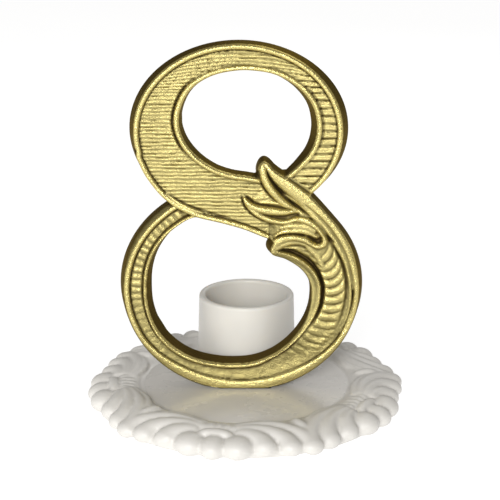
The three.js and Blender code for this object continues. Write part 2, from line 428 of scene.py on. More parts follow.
def move_to_edge(x, z, depth, rounds=4):
    """Slides points along the slope of the outline until they lie on it at that depth."""
    reach = 0.02
    for _ in range(rounds):
        value = inside_figure(x, z, depth)
        slope_x = (inside_figure(x + reach, z, depth) - inside_figure(x - reach, z, depth)) / (2 * reach)
        slope_z = (inside_figure(x, z + reach, depth) - inside_figure(x, z - reach, depth)) / (2 * reach)
        size = np.maximum(slope_x**2 + slope_z**2, 0.2)
        x = x - value * slope_x / size
        z = z - value * slope_z / size
    return x, np.maximum(z, FOOT_LINE)


# ------------------------------------------------------------------ figure eight: relief

BEAD = {"outer": 2.5, "inner": 2.3, "height": 1.0, "groove": 0.45}
RIDGE_PITCH = 1.74
RIDGE_DEPTH = 0.52
BAR_TURN = math.radians(4.35)  # spacing of the bars on the left of the lower loop
GADROON_TURN = math.radians(5.3)  # spacing of the gadroons on its right
FIELD = -0.45
BROADENING = 1.2  # of every strand's half width
CUT_DEPTH = 0.75  # share of every cut's depth

# Rounded strands of the leaf and the scroll, as (x, z, half width, height of the crest)
STRANDS = [
    # left ridge of the tall leaf
    [(7.4, 117.6, 0.9, 0.9), (7.6, 114.5, 1.5, 1.9), (8.6, 110.5, 1.7, 2.1), (10.6, 106.8, 1.8, 2.1),
     (13.2, 103.3, 1.8, 2.0), (16.2, 100.2, 1.8, 1.7), (19.2, 97.6, 1.7, 1.3), (22.0, 96.0, 1.2, 0.8)],
    # right ridge of the tall leaf, running down into the outer edge
    [(8.8, 117.2, 0.9, 0.9), (11.0, 114.2, 1.7, 2.0), (14.5, 110.9, 2.3, 2.2), (19.0, 107.4, 2.6, 2.2),
     (24.0, 103.4, 2.9, 2.1), (30.0, 98.3, 3.2, 1.9), (36.0, 92.2, 3.1, 1.6), (41.6, 85.0, 2.6, 1.3),
     (46.4, 76.0, 1.9, 1.1), (49.6, 66.5, 1.5, 1.0), (51.0, 57.5, 1.3, 0.9)],
    # second line beside it
    [(24.5, 97.9, 0.9, 0.9), (29.5, 94.0, 1.4, 1.3), (34.5, 89.2, 1.6, 1.2), (38.6, 84.2, 1.5, 1.1),
     (42.4, 78.0, 1.2, 0.9), (46.0, 70.2, 0.9, 0.6), (48.2, 61.0, 0.8, 0.35), (48.6, 52.0, 0.7, 0.15),
     (47.4, 44.0, 0.6, -0.05), (44.4, 36.0, 0.5, -0.3)],
    # upper crest of the short leaf
    [(-1.0, 100.9, 0.8, 0.9), (0.6, 99.0, 1.1, 1.5), (3.2, 97.1, 1.4, 1.8), (7.0, 95.9, 1.6, 1.9),
     (12.0, 95.1, 1.7, 1.9), (17.0, 94.6, 1.6, 1.6), (21.0, 94.8, 1.2, 1.0)],
    # its lower crest
    [(-0.6, 99.0, 0.7, 0.7), (1.2, 96.8, 0.9, 1.2), (4.2, 94.2, 1.1, 1.5), (8.2, 91.9, 1.2, 1.6),
     (13.0, 90.4, 1.2, 1.6), (17.5, 89.8, 1.1, 1.4), (21.5, 90.6, 1.0, 1.2)],
    # rim of the curl, over the top and round its end, back along the lower crest into the knob
    [(19.5, 90.4, 0.8, 0.8), (23.5, 91.2, 1.2, 1.6), (27.8, 90.3, 1.4, 2.0), (31.8, 88.2, 1.4, 2.1),
     (34.6, 85.3, 1.3, 2.0), (36.2, 82.0, 1.2, 1.9), (35.6, 79.2, 1.2, 1.8), (33.0, 78.3, 1.2, 1.8),
     (30.2, 79.6, 1.2, 1.9), (26.8, 81.5, 1.3, 2.0), (22.5, 82.5, 1.4, 2.1), (18.2, 82.1, 1.5, 2.0),
     (14.8, 80.6, 1.7, 1.8), (12.2, 78.4, 2.1, 1.4), (11.6, 76.0, 2.2, 1.0)],
    # crest inside the hollow
    [(13.2, 82.7, 0.7, 1.0), (15.6, 84.7, 1.0, 1.5), (19.5, 85.6, 1.2, 1.7), (24.5, 85.8, 1.3, 1.6),
     (29.0, 84.8, 1.3, 1.4), (32.0, 83.0, 1.0, 1.0)],
    # rounded tongue between the hollow and the rim
    [(16.0, 87.2, 0.9, 1.1), (21.0, 88.0, 1.3, 1.4), (26.5, 87.8, 1.5, 1.6), (31.0, 85.9, 1.3, 1.5)],
    # face of the scroll under its crest
    [(13.6, 77.6, 1.7, 1.2), (17.5, 79.6, 1.6, 1.3), (22.0, 80.2, 1.3, 1.1), (26.5, 79.4, 1.3, 0.9),
     (30.0, 76.6, 1.6, 0.8), (33.0, 73.4, 1.6, 0.7), (35.2, 69.0, 1.3, 0.6)],
    # short streaks between the two leaves
    [(2.6, 101.3, 0.5, 0.5), (6.0, 101.2, 0.8, 0.8), (10.5, 101.8, 0.7, 0.7)],
    [(6.0, 98.9, 0.5, 0.5), (10.0, 99.2, 0.9, 0.9), (14.5, 98.6, 0.9, 0.9), (18.5, 96.8, 0.6, 0.7)],
    # tip of the inner bead, to the right of the tall leaf
    [(18.6, 111.0, 0.5, 0.7), (21.5, 113.3, 1.0, 1.0), (25.0, 116.6, 1.2, 1.0), (28.4, 120.6, 1.2, 0.9)],
    # second line over the left end of the band
    [(-36.5, 103.0, 0.7, 0.3), (-31.5, 99.2, 1.0, 0.7), (-26.0, 96.3, 1.0, 0.8), (-20.0, 94.2, 0.6, 0.3)],
]

# Cut lines, as (x, z, half width, depth)
CUTS = [
    # between the two ridges of the tall leaf
    [(9.2, 115.0, 0.4, 0.4), (10.4, 111.3, 0.6, 1.4), (13.0, 107.0, 0.8, 1.9), (16.6, 102.8, 0.9, 2.0),
     (20.5, 99.4, 0.9, 2.0), (24.5, 96.4, 0.8, 1.8), (28.8, 93.2, 0.5, 0.9)],
    # between the second line and the outer edge
    [(27.0, 98.2, 0.4, 0.6), (33.0, 92.9, 0.5, 0.9), (38.5, 86.8, 0.5, 0.9), (43.4, 79.4, 0.5, 0.9),
     (47.2, 71.0, 0.45, 0.8), (49.8, 60.0, 0.4, 0.7), (50.0, 52.0, 0.4, 0.7), (48.8, 44.0, 0.4, 0.6),
     (45.8, 36.0, 0.35, 0.4)],
    # behind the second line
    [(29.5, 91.5, 0.5, 0.7), (34.0, 87.6, 0.6, 1.1), (37.2, 83.0, 0.8, 1.6), (40.0, 80.2, 0.7, 1.2)],
    # above the short leaf
    [(0.2, 101.9, 0.5, 0.8), (2.6, 99.7, 0.6, 1.1), (6.5, 98.0, 0.6, 1.1), (12.0, 97.2, 0.6, 1.0),
     (17.5, 96.2, 0.5, 0.8), (21.5, 95.9, 0.4, 0.6)],
    # left of the tip of the short leaf
    [(-1.7, 101.4, 0.5, 0.9), (-1.4, 98.8, 0.5, 0.9), (0.4, 95.9, 0.5, 0.9), (3.4, 92.9, 0.5, 0.8),
     (8.0, 90.2, 0.5, 0.6)],
    # hollows at the root of the short leaf
    [(12.0, 92.4, 0.8, 0.7), (17.0, 92.0, 1.1, 1.2), (20.0, 92.6, 1.1, 1.4), (23.5, 93.2, 0.9, 1.7)],
    # the eye of the curl
    [(28.8, 82.6, 0.7, 0.7), (31.0, 80.9, 1.1, 1.9), (33.2, 80.6, 1.2, 2.4), (34.2, 82.0, 0.8, 1.4)],
    # under the crest of the hollow
    [(12.6, 81.9, 0.4, 0.8), (16.0, 83.7, 0.5, 1.1), (21.0, 84.2, 0.5, 1.1), (26.5, 83.4, 0.5, 1.0)],
    # dark gap under the scroll
    [(19.0, 78.0, 0.4, 0.7), (23.0, 78.2, 0.7, 1.2), (27.0, 77.4, 0.7, 1.0)],
    # end of the upper loop against the leaf
    [(19.5, 110.5, 0.5, 1.2), (23.0, 108.0, 0.6, 1.6), (27.5, 104.6, 0.6, 1.6), (31.0, 101.8, 0.5, 0.8)],
    [(5.3, 116.0, 0.4, 0.6), (5.9, 111.5, 0.5, 1.0), (7.6, 107.0, 0.5, 1.0), (10.6, 102.6, 0.5, 0.9),
     (14.0, 99.5, 0.4, 0.6)],
    # second groove at the left end of the band
    [(-33.5, 101.8, 0.3, 0.5), (-27.0, 97.9, 0.4, 0.7), (-19.0, 94.9, 0.5, 0.8), (-12.0, 92.7, 0.5, 0.8),
     (-7.0, 91.4, 0.3, 0.4)],
]


def strip_of(x, z, rows):
    """Where a strand or a cut applies, with its share of the half width and its value there."""
    line = spline(rows, steps=6)
    reach = 2.5 * line[:, 2].max()
    near = (x > line[:, 0].min() - reach) & (x < line[:, 0].max() + reach)
    near &= (z > line[:, 1].min() - reach) & (z < line[:, 1].max() + reach)
    gap, along = nearest(x[near], z[near], line)
    corners = np.arange(len(line))
    half = np.interp(along, corners, line[:, 2])
    return near, gap / half, np.interp(along, corners, line[:, 3])


def bead(inset, start, width, height):
    """A half round from start to start + width, falling away on both sides."""
    share = (inset - start - width / 2) / (width / 2)
    return height * np.sqrt(np.clip(1 - share * share, 0, 1)) - 3 * np.clip(np.abs(share) - 1, 0, 1)


def hand_cut(phase, sharpness=1.6):
    """Rounded ridges with narrow dark cuts between them, 0 in a cut and 1 on a crest."""
    return np.abs(np.sin(np.pi * phase)) ** (1 / sharpness)


def upper_field(x, z):
    """Ridges cut across the upper loop and the band."""
    arch = step(148, 163, z) * 0.0042 * (x + 4) ** 2
    sway = 0.24 * wobble(x * 0.8, z * 2.0, 1.0) + 0.10 * wobble(x * 2.2, z, 4.0)
    phase = (z + arch + sway) / RIDGE_PITCH
    right = step(20, 26, x)
    fine = hand_cut(phase)
    coarse = hand_cut(phase / 2, 2.2)
    rise = fine * RIDGE_DEPTH * (0.85 + 0.3 * wobble(x * 0.5, z * 3.0, 2.0))
    rise = rise * (1 - 0.45 * right) + right * (0.75 * coarse - 0.1)
    return FIELD + rise


def lower_field(x, z, outer, inner):
    """Bars on the left of the lower loop, gadroons on its right, and a plain ground below."""
    middle = (-7.0, 57.0)
    turn = np.arctan2(z - middle[1], x - middle[0])
    ragged = 0.6 * wobble(x, z * 1.5, 3.0)
    # bars, short and rounded, fading out downwards
    bars = hand_cut((turn + 0.010 * ragged) % math.tau / BAR_TURN, 1.3) ** 1.5
    bars *= step(1.9, 3.2, outer + 0.25 * ragged - 0.6) * step(1.8, 3.0, inner)
    bars *= (0.25 * step(22, 40, z) + 0.75 * step(40, 66, z)) * step(-20, -27, x)
    # gadroons, each bowed like a crescent with its right end up
    along = np.clip((outer - 11.0) / -5.5, -1.4, 1.4)
    lift = 0.030 + 0.030 * step(48, 66, z)
    swing = lift * (along + 0.9 * along**2) - 0.02
    waves = hand_cut((turn - swing) / GADROON_TURN + 0.5, 1.7) * (1 - 0.45 * along**2)
    low = step(52, 34, z)
    start = np.interp(z, LIP_HEIGHTS, LIP_WIDTHS) + 1.2 - 0.6 * low
    waves *= step(start, start + 1.8, inner + 0.3 * ragged) * step(5.3, 7.2, outer + 0.5 * ragged)
    waves *= (1 - 0.45 * low) * step(21, 30, z) * step(82, 77, z) * step(9, 20, x)
    fine = hand_cut((turn + 0.03 * ragged) / GADROON_TURN * 1.7, 1.2) * low * step(10.5, 7, outer)
    fine *= step(20, 28, z) * step(12, 22, x) * step(4.2, 6.4, outer + 0.8 * ragged)
    gap = np.exp(-(((outer - 5.6 - 0.35 * ragged) / 0.55) ** 2)) * step(36, 46, z) * step(80, 74, z)
    gap *= step(20, 28, x)
    pebbles = 0.10 * wobble(2.6 * x, 2.9 * z, 6.0) * step(3.2, 4.2, outer) * step(60, 40, z)
    tilt = 0.20 * (5.8 - outer) * step(38, 20, z)
    ground = FIELD + tilt - 0.15 * step(30, 45, z)
    return ground + 0.6 * bars + 1.05 * waves + 0.3 * fine - 0.5 * gap + pebbles


# Width of the lip round the right of the lower hole, by height
LIP_HEIGHTS = [24.0, 30.0, 37.0, 44.0, 50.0, 58.0, 66.0, 72.0, 76.0]
LIP_WIDTHS = [1.0, 1.3, 1.9, 2.8, 3.6, 4.1, 4.0, 3.5, 2.8]


def lip_and_channel(height, x, z, hole):
    """A crest that slopes down to the hole on one side and drops into a channel on the other."""
    wide = np.interp(z, LIP_HEIGHTS, LIP_WIDTHS)
    here = (x > 5.0) & (z < 77.5) & (hole < 9.0)
    crest = 0.7 - 0.15 * step(26, 40, z) + 0.25 * step(60, 74, z)
    steep = 0.62 - 0.22 * step(56, 74, z)
    slope = crest - steep * (wide - hole) - 0.04 * (wide - hole) ** 2
    drop = crest - 2.6 * np.maximum(hole - wide, 0)
    lip = soft_min(slope, drop, 0.25)
    reach = 0.75 + 0.55 * step(60, 73, z)
    depth = 2.2 * step(36, 50, z) * step(12, 18, x)
    channel = depth * np.exp(-(((hole - wide - 0.5 - reach) / reach) ** 2))
    carved = soft_max(height - channel, lip, 0.15)
    share = step(5, 15, x + 10 * step(50, 60, z)) * step(77.5, 76.0, z)
    return np.where(here, height + (carved - height) * share, height)


def relief(x, z):
    """Height of the face above its ground, in millimetres."""
    oval_u = inside_oval(x, z, UPPER_LOOP[0])
    oval_l = inside_oval(x, z, LOWER_FACE)
    hole_u = -inside_of(x, z, UPPER_HOLE)
    hole_l = -inside_of(x, z, LOWER_HOLE)
    # the upper loop with its band
    inset = soft_max(oval_u, inside_of(x, z, BAND), 1.0)
    upper = upper_field(x, z)
    gap_u = step(0.9, 0.2, np.abs(hole_u - 2.8)) * step(118, 128, z) * step(160, 150, z)
    upper = upper - gap_u * (1.0 * step(-20, -28, x) + 0.5 * step(24, 30, x))
    groove = step(0.35, 0.1, np.abs(inset - BEAD["outer"] - 0.25))
    upper = upper - BEAD["groove"] * groove
    upper = np.maximum(upper, bead(inset, 0, BEAD["outer"], BEAD["height"]))
    upper = np.maximum(upper, bead(hole_u, 0, BEAD["inner"], 0.85))
    # the lower loop
    lower = lower_field(x, z, oval_l, hole_l)
    rim = 2.3 + 2.4 * step(34, 12, z)
    groove = step(0.35, 0.1, np.abs(oval_l - rim - 0.3))
    groove = groove + step(0.3, 0.1, np.abs(hole_l - 2.0)) * step(25, 20, x)
    lower = lower - BEAD["groove"] * groove
    lower = np.maximum(lower, bead(oval_l, 0, rim, BEAD["height"]))
    lower = np.where(oval_l < 0, np.minimum(lower, 1.1 * oval_l - 0.1 * oval_l**2), lower)
    inner_rim = 1.4 + 0.6 * step(45, 25, z)
    lower = np.maximum(lower, bead(hole_l, 0, inner_rim, 0.7) - 2 * step(5, 15, x))
    # the upper loop and its band lie over the lower one, and the leaf parts them on the right
    is_upper = (inset > 0) & ((x < 10.5) | (z > 126.5 - 0.8 * x))
    height = np.where(is_upper, upper, lower - 0.25 * step(88, 96, z) * step(-18, -22, x))
    # ground of the scroll
    scroll = inside_of(x, z, SCROLL)
    height = soft_max(height, np.minimum(0.35, scroll * 0.5), 0.3)
    height = lip_and_channel(height, x, z, hole_l)
    for rows in STRANDS:
        near, share, crest = strip_of(x, z, rows)
        share = share / BROADENING
        form = crest - 0.62 * share**2 - 0.55 * share**4
        height[near] = soft_max(height[near], form, 0.2)
    for rows in CUTS:
        near, share, depth = strip_of(x, z, rows)
        height[near] -= CUT_DEPTH * depth * np.exp(-(share**2))
    edge = inside_figure(x, z, 0)
    return height - 0.9 * (1 - step(0, 0.7, edge)) ** 2


SCROLL = spline([
    (7.0, 104.0), (13.0, 103.5), (20.0, 98.5), (28.0, 95.0), (36.0, 87.0), (38.0, 79.0), (34.0, 72.5),
    (30.0, 76.0), (22.0, 77.0), (12.0, 74.0), (11.5, 80.0), (13.0, 83.5), (13.0, 88.0), (3.0, 97.5),
], closed=True)


# ------------------------------------------------------------------ materials


def new_material(name):
    material = bpy.data.materials.new(name)
    material.use_nodes = True
    tree = material.node_tree
    return material, tree.nodes, tree.links, tree.nodes["Principled BSDF"]


def noise(nodes, links, scale, detail=3.0, roughness=0.6):
    where = nodes.new("ShaderNodeTexCoord")
    pattern = nodes.new("ShaderNodeTexNoise")
    pattern.inputs["Scale"].default_value = scale
    pattern.inputs["Detail"].default_value = detail
    pattern.inputs["Roughness"].default_value = roughness
    links.new(where.outputs["Object"], pattern.inputs["Vector"])
    return pattern.outputs["Fac"]


def ramp(nodes, links, value, stops):
    """A colour ramp through (place, colour) stops."""
    node = nodes.new("ShaderNodeValToRGB")
    bar = node.color_ramp
    while len(bar.elements) < len(stops):
        bar.elements.new(0.5)
    for element, (place, colour) in zip(bar.elements, stops):
        element.position = place
        element.color = (*colour, 1)
    links.new(value, node.inputs["Fac"])
    return node.outputs["Color"]


def span(nodes, links, value, low, high, out_low, out_high):
    node = nodes.new("ShaderNodeMapRange")
    for name, number in (("From Min", low), ("From Max", high), ("To Min", out_low), ("To Max", out_high)):
        node.inputs[name].default_value = number
    links.new(value, node.inputs["Value"])
    return node.outputs["Result"]


def bumps(nodes, links, shader, layers):
    """Chains bump layers of (height, strength, distance) into a shader's normal."""
    normal = None
    for height, strength, distance in layers:
        node = nodes.new("ShaderNodeBump")
        node.inputs["Strength"].default_value = strength
        node.inputs["Distance"].default_value = distance
        links.new(height, node.inputs["Height"])
        if normal is not None:
            links.new(normal, node.inputs["Normal"])
        normal = node.outputs["Normal"]
    links.new(normal, shader.inputs["Normal"])


def scaled(colour, factor):
    return tuple(min(1.0, channel * factor) for channel in colour[:3])


def gilding(settings):
    """Warm gilding with painted shade: lighter on the crests, dark brown in the cuts, on the sides and at
    the foot.
    """
    material, nodes, links, shader = new_material("gilding")
    gold = tuple(settings.gold)
    shade_colour = tuple(settings.shade_colour)
    # The recess attribute read here holds painted shade.
    shade_node = nodes.new("ShaderNodeAttribute")
    shade_node.attribute_name = "painted_shade"
    grain = noise(nodes, links, 1900, 4)
    pebble = noise(nodes, links, 1100, 2)
    cloud = noise(nodes, links, 180, 3)
    mixed = nodes.new("ShaderNodeMath")
    mixed.operation = "MULTIPLY_ADD"
    links.new(cloud, mixed.inputs[0])
    mixed.inputs[1].default_value = 0.30
    links.new(shade_node.outputs["Fac"], mixed.inputs[2])
    shade = span(nodes, links, mixed.outputs[0], 0.15, 1.15, 0, 1)
    # Painted shade ramp: lighter gold on the crests, darkening to dark brown in the cuts, on the sides and
    # at the foot.
    colour = ramp(nodes, links, shade, [
        (0.0, scaled(gold, 1.30)),
        (0.22, gold),
        (0.50, scaled(gold, 0.55)),
        (0.85, shade_colour),
    ])
    links.new(colour, shader.inputs["Base Color"])
    rough = span(nodes, links, shade, 0, 1, settings.roughness, 0.55)
    links.new(rough, shader.inputs["Roughness"])
    shader.inputs["Metallic"].default_value = 0.92
    shader.inputs["Specular Tint"].default_value = (0.80, 0.66, 0.36, 1)
    bumps(nodes, links, shader, [(cloud, 0.25, 0.0004), (pebble, 0.85, 0.00040), (grain, 0.80, 0.00024)])
    return material


def white_casting(settings):
    """Matt white cast stone, with painted shade that makes it greyer in its hollows."""
    material, nodes, links, shader = new_material("white_casting")
    white = tuple(settings.white)
    cloud = noise(nodes, links, 60, 3)
    grain = noise(nodes, links, 2200, 3)
    hollow = nodes.new("ShaderNodeAttribute")
    hollow.attribute_name = "painted_shade"
    mixed = nodes.new("ShaderNodeMath")
    mixed.operation = "MULTIPLY_ADD"
    links.new(cloud, mixed.inputs[0])
    mixed.inputs[1].default_value = 0.25
    links.new(hollow.outputs["Fac"], mixed.inputs[2])
    # Painted shade: slightly lighter on the bulges, greyer in the hollows.
    colour = ramp(nodes, links, mixed.outputs[0], [
        (0.05, scaled(white, 1.04)),
        (0.40, white),
        (1.0, scaled(white, 0.62)),
    ])
    links.new(colour, shader.inputs["Base Color"])
    smoothed = nodes.new("ShaderNodeAttribute")
    smoothed.attribute_name = "polish"
    polished = nodes.new("ShaderNodeMath")
    polished.operation = "MULTIPLY_ADD"
    links.new(smoothed.outputs["Fac"], polished.inputs[0])
    polished.inputs[1].default_value = -0.25
    links.new(span(nodes, links, cloud, 0.3, 0.7, 0.46, 0.56), polished.inputs[2])
    links.new(polished.outputs[0], shader.inputs["Roughness"])
    shader.inputs["Specular IOR Level"].default_value = 0.8
    bumps(nodes, links, shader, [(grain, 0.10, 0.00008), (cloud, 0.12, 0.0004)])
    return material


def cup_plastic(settings):
    """Milky moulded plastic with a soft surface."""
    material, nodes, links, shader = new_material("cup_plastic")
    white = tuple(settings.white)
    cloud = noise(nodes, links, 45, 2)
    grain = noise(nodes, links, 1400, 2)
    colour = ramp(nodes, links, cloud, [(0.3, scaled(white, 0.97)), (0.7, scaled(white, 1.03))])
    links.new(colour, shader.inputs["Base Color"])
    links.new(span(nodes, links, grain, 0.3, 0.7, 0.34, 0.44), shader.inputs["Roughness"])
    shader.inputs["Subsurface Weight"].default_value = 0.5
    shader.inputs["Subsurface Scale"].default_value = 0.004
    shader.inputs["Subsurface Radius"].default_value = (1.0, 0.9, 0.75)
    bumps(nodes, links, shader, [(grain, 0.08, 0.00008)])
    return material


def backing_felt(settings):
    """Dense dark felt with fibres standing off it."""
    material, nodes, links, shader = new_material("backing_felt")
    felt = tuple(settings.felt)
    fibre = noise(nodes, links, 3200, 5, 0.8)
    colour = ramp(nodes, links, fibre, [(0.3, scaled(felt, 0.7)), (0.7, scaled(felt, 1.3))])
    links.new(colour, shader.inputs["Base Color"])
    shader.inputs["Roughness"].default_value = 0.95
    shader.inputs["Sheen Weight"].default_value = 0.3
    bumps(nodes, links, shader, [(fibre, 0.6, 0.0004)])
    return material


def cement():
    """Brown setting cement, rough and speckled."""
    material, nodes, links, shader = new_material("cement")
    speck = noise(nodes, links, 900, 5)
    colour = ramp(nodes, links, speck, [(0.3, (0.05, 0.028, 0.008)), (0.7, (0.17, 0.10, 0.03))])
    links.new(colour, shader.inputs["Base Color"])
    shader.inputs["Roughness"].default_value = 0.8
    bumps(nodes, links, shader, [(speck, 0.5, 0.0003)])
    return material


def screw_steel():
    """Zinc plated steel with a faint drawn grain."""
    material, nodes, links, shader = new_material("screw_steel")
    grain = noise(nodes, links, 1800, 4)
    colour = ramp(nodes, links, grain, [(0.3, (0.42, 0.43, 0.45)), (0.7, (0.62, 0.63, 0.65))])
    links.new(colour, shader.inputs["Base Color"])
    links.new(span(nodes, links, grain, 0.3, 0.7, 0.25, 0.40), shader.inputs["Roughness"])
    shader.inputs["Metallic"].default_value = 1.0
    bumps(nodes, links, shader, [(grain, 0.15, 0.0001)])
    return material


# ------------------------------------------------------------------ figure eight: mesh


def world_of(x, z, height):
    """Drawing millimetres, with a height above the face, as points in metres."""
    y = FIGURE_HIGH.y / MM - FACE_DEPTH - height
    return np.column_stack([x * MM, y * MM, FIGURE_LOW.z + (z - FOOT_LINE) * MM])


def blurred(grid, reach):
    """A grid of values averaged over a square, twice."""
    for _ in range(2):
        for axis in (0, 1):
            padded = np.concatenate([
                np.repeat(grid.take([0], axis), reach + 1, axis),
                grid,
                np.repeat(grid.take([-1], axis), reach, axis),
            ], axis)
            total = np.cumsum(padded, axis)
            width = 2 * reach + 1
            grid = (total.take(range(width, total.shape[axis]), axis)
                    - total.take(range(total.shape[axis] - width), axis)) / width
    return grid


def boundary_edges(piece):
    """Directed edges, as pairs of vertex numbers, that have a face on one side only."""
    loops = np.empty(len(piece.data.loops), int)
    piece.data.loops.foreach_get("vertex_index", loops)
    quads = loops.reshape(-1, 4)
    start = quads.ravel()
    end = np.roll(quads, -1, 1).ravel()
    total = len(piece.data.vertices)
    forward = start.astype(np.int64) * total + end
    backward = end.astype(np.int64) * total + start
    open_side = ~np.isin(forward, backward)
    return start[open_side], end[open_side]


def keep_points(piece, kept):
    """Deletes the points that aren't kept, and whatever loses its faces."""
    make_active(piece)
    piece.data.vertices.foreach_set("select", ~kept)
    piece.data.edges.foreach_set("select", np.zeros(len(piece.data.edges), bool))
    piece.data.polygons.foreach_set("select", np.zeros(len(piece.data.polygons), bool))
    bpy.ops.object.mode_set(mode="EDIT")
    bpy.ops.mesh.select_mode(type="VERT")
    bpy.ops.mesh.delete(type="VERT")
    bpy.ops.mesh.select_all(action="SELECT")
    bpy.ops.mesh.delete_loose(use_verts=True, use_edges=True, use_faces=False)
    bpy.ops.object.mode_set(mode="OBJECT")


def drop_pinches(piece):
    """Deletes points where the outline touches itself, until none is left."""
    while True:
        start, _ = boundary_edges(piece)
        numbers, counts = np.unique(start, return_counts=True)
        pinched = numbers[counts > 1]
        if len(pinched) == 0:
            return
        kept = np.ones(len(piece.data.vertices), bool)
        kept[pinched] = False
        keep_points(piece, kept)


def evened(x, z, before, after, rounds):
    """Points of closed outlines, each drawn towards the middle of its neighbours."""
    for _ in range(rounds):
        x = x / 2 + (x[before] + x[after]) / 4
        z = z / 2 + (z[before] + z[after]) / 4
    return x, z


# Rings of the side wall, as (depth of the outline from face to back, millimetres behind the face)
WALL_STEP = 0.35  # least drop from one ring to the next
WALL_RINGS = [(0.03, 0.75), (0.12, 1.6), (0.45, 4.4), (0.85, 7.7), (1.0, FACE_DEPTH - 0.8)]
BACK_BEVEL = 0.7


class HOLDER_OT_figure(bpy.types.Operator):
    """Carves the gilt figure eight: its face relief, its sides and its flat back"""

    bl_idname = "holder.figure"
    bl_label = "Figure eight"

    def execute(self, context):
        settings = context.scene.holder_figure
        pitch = settings.pitch / MM
        low_x, low_z = FIGURE_LOW.x / MM, FIGURE_LOW.z / MM
        width, height = FIGURE_HIGH.x / MM - low_x, FIGURE_HIGH.z / MM - low_z
        columns, rows = round(width / pitch), round(height / pitch)
        deselect_all()
        bpy.ops.mesh.primitive_grid_add(x_subdivisions=columns, y_subdivisions=rows, size=2)
        piece = new_piece("figure_gilding")
        flat = points_of(piece)
        x = low_x + (flat[:, 0] + 1) / 2 * width
        z = low_z + (flat[:, 1] + 1) / 2 * height
        edge = inside_figure(x, z, 0)
        carved = relief(x, z)
        grid = np.where(edge > 0, carved, -1.5).reshape(rows + 1, columns + 1)
        # The recess value is painted shade: darker where a point lies below its neighbours or near the
        # outline, lighter on the crests.
        hollow = blurred(grid, round(1.1 / pitch)) - grid
        painted_shade = np.clip(0.30 + 0.75 * hollow - 0.10 * grid, 0, 0.85).ravel()
        # More painted shade on the rounded shoulder of the lower loop and along the bottom of the foot.
        shoulder = step(0.2, -0.8, inside_oval(x, z, LOWER_FACE)) * step(80, 60, z) * step(14, 32, z)
        painted_shade = np.clip(painted_shade + 0.45 * shoulder + 0.15 * step(8.0, 7.4, z), 0, 1)
        flat[:, 0], flat[:, 1], flat[:, 2] = x, z, painted_shade
        set_points(piece, flat)
        keep_points(piece, edge > -0.3 * pitch)
        drop_pinches(piece)
        face = points_of(piece)
        painted_shade = face[:, 2].copy()
        start, end = boundary_edges(piece)
        rim = np.unique(start)
        order = np.argsort(start)
        after = np.searchsorted(rim, end[order])
        before = np.empty_like(after)
        before[after] = np.arange(len(rim))
        rim_x, rim_z = move_to_edge(face[rim, 0], face[rim, 1], 0, 6)
        face[rim, 0], face[rim, 1] = evened(rim_x, rim_z, before, after, 3)
        self.relax(piece, face, rim, inside_figure(face[:, 0], face[:, 1], 0) < 4 * pitch)
        height_of = relief(face[:, 0], face[:, 1])
        points = [world_of(face[:, 0], face[:, 1], height_of)]
        tints = [painted_shade]
        ring_x, ring_z = face[rim, 0], face[rim, 1]
        sunk = height_of[rim]
        for depth, behind in WALL_RINGS:
            ring_x, ring_z = evened(*move_to_edge(ring_x, ring_z, depth), before, after, 8)
            sunk = np.minimum(sunk - WALL_STEP, -behind)
            points.append(world_of(ring_x, ring_z, sunk))
            # Painted shade on the side walls, darker the further a ring lies behind the face.
            tints.append(np.full(len(rim), 0.62 + 0.3 * min(1, behind / 2)))
        ring_x, ring_z = evened(*self.drawn_in(ring_x, ring_z), before, after, 16)
        points.append(world_of(ring_x, ring_z, np.full(len(rim), -FACE_DEPTH)))
        # The flat back gets a dark painted shade tint too.
        tints.append(np.full(len(rim), 0.8))
        loops = np.empty(len(piece.data.loops), int)
        piece.data.loops.foreach_get("vertex_index", loops)
        faces = [tuple(quad) for quad in loops.reshape(-1, 4)[:, ::-1].tolist()]
        faces += self.wall_faces(rim, start, end, len(face))
        bpy.data.objects.remove(piece)
        last = len(face) + len(WALL_RINGS) * len(rim)
        faces += self.back_faces(points[-1], list(enumerate(after.tolist())), last)
        mesh = bpy.data.meshes.new("figure_gilding")
        mesh.from_pydata(np.vstack(points).tolist(), [], faces)
        tint = mesh.attributes.new("painted_shade", "FLOAT", "POINT")
        tint.data.foreach_set("value", np.concatenate(tints).astype(np.float32))
        piece = bpy.data.objects.new("figure_gilding", mesh)
        context.collection.objects.link(piece)
        self.shade(piece, last)
        finish_piece(piece, gilding(settings), "gilding", "figure_eight")
        return {"FINISHED"}

    def wall_faces(self, rim, start, end, total):
        """Quads from the rim of the face back through the rings of the wall."""
        place = {number: index for index, number in enumerate(rim.tolist())}
        faces = []
        for ring in range(len(WALL_RINGS) + 1):
            inner = total + ring * len(rim)
            outer = inner - len(rim)
            for a, b in zip(start.tolist(), end.tolist()):
                first, second = place[a], place[b]
                corner_a = a if ring == 0 else outer + first
                corner_b = b if ring == 0 else outer + second
                faces.append((corner_a, corner_b, inner + second, inner + first))
        return faces

    def shade(self, piece, first_back):
        """Turns the faces outwards and shades them smooth, with a crisp flat back."""
        make_active(piece)
        bpy.ops.object.mode_set(mode="EDIT")
        bpy.ops.mesh.select_all(action="SELECT")
        bpy.ops.mesh.normals_make_consistent(inside=False)
        bpy.ops.object.mode_set(mode="OBJECT")
        smooth(piece, 55)
        mesh = piece.data
        pairs = np.empty(len(mesh.edges) * 2, int)
        mesh.edges.foreach_get("vertices", pairs)
        back_edges = (pairs.reshape(-1, 2) >= first_back).all(1)
        sharp = np.empty(len(mesh.edges), bool)
        mesh.edges.foreach_get("use_edge_sharp", sharp)
        mesh.edges.foreach_set("use_edge_sharp", sharp | back_edges)

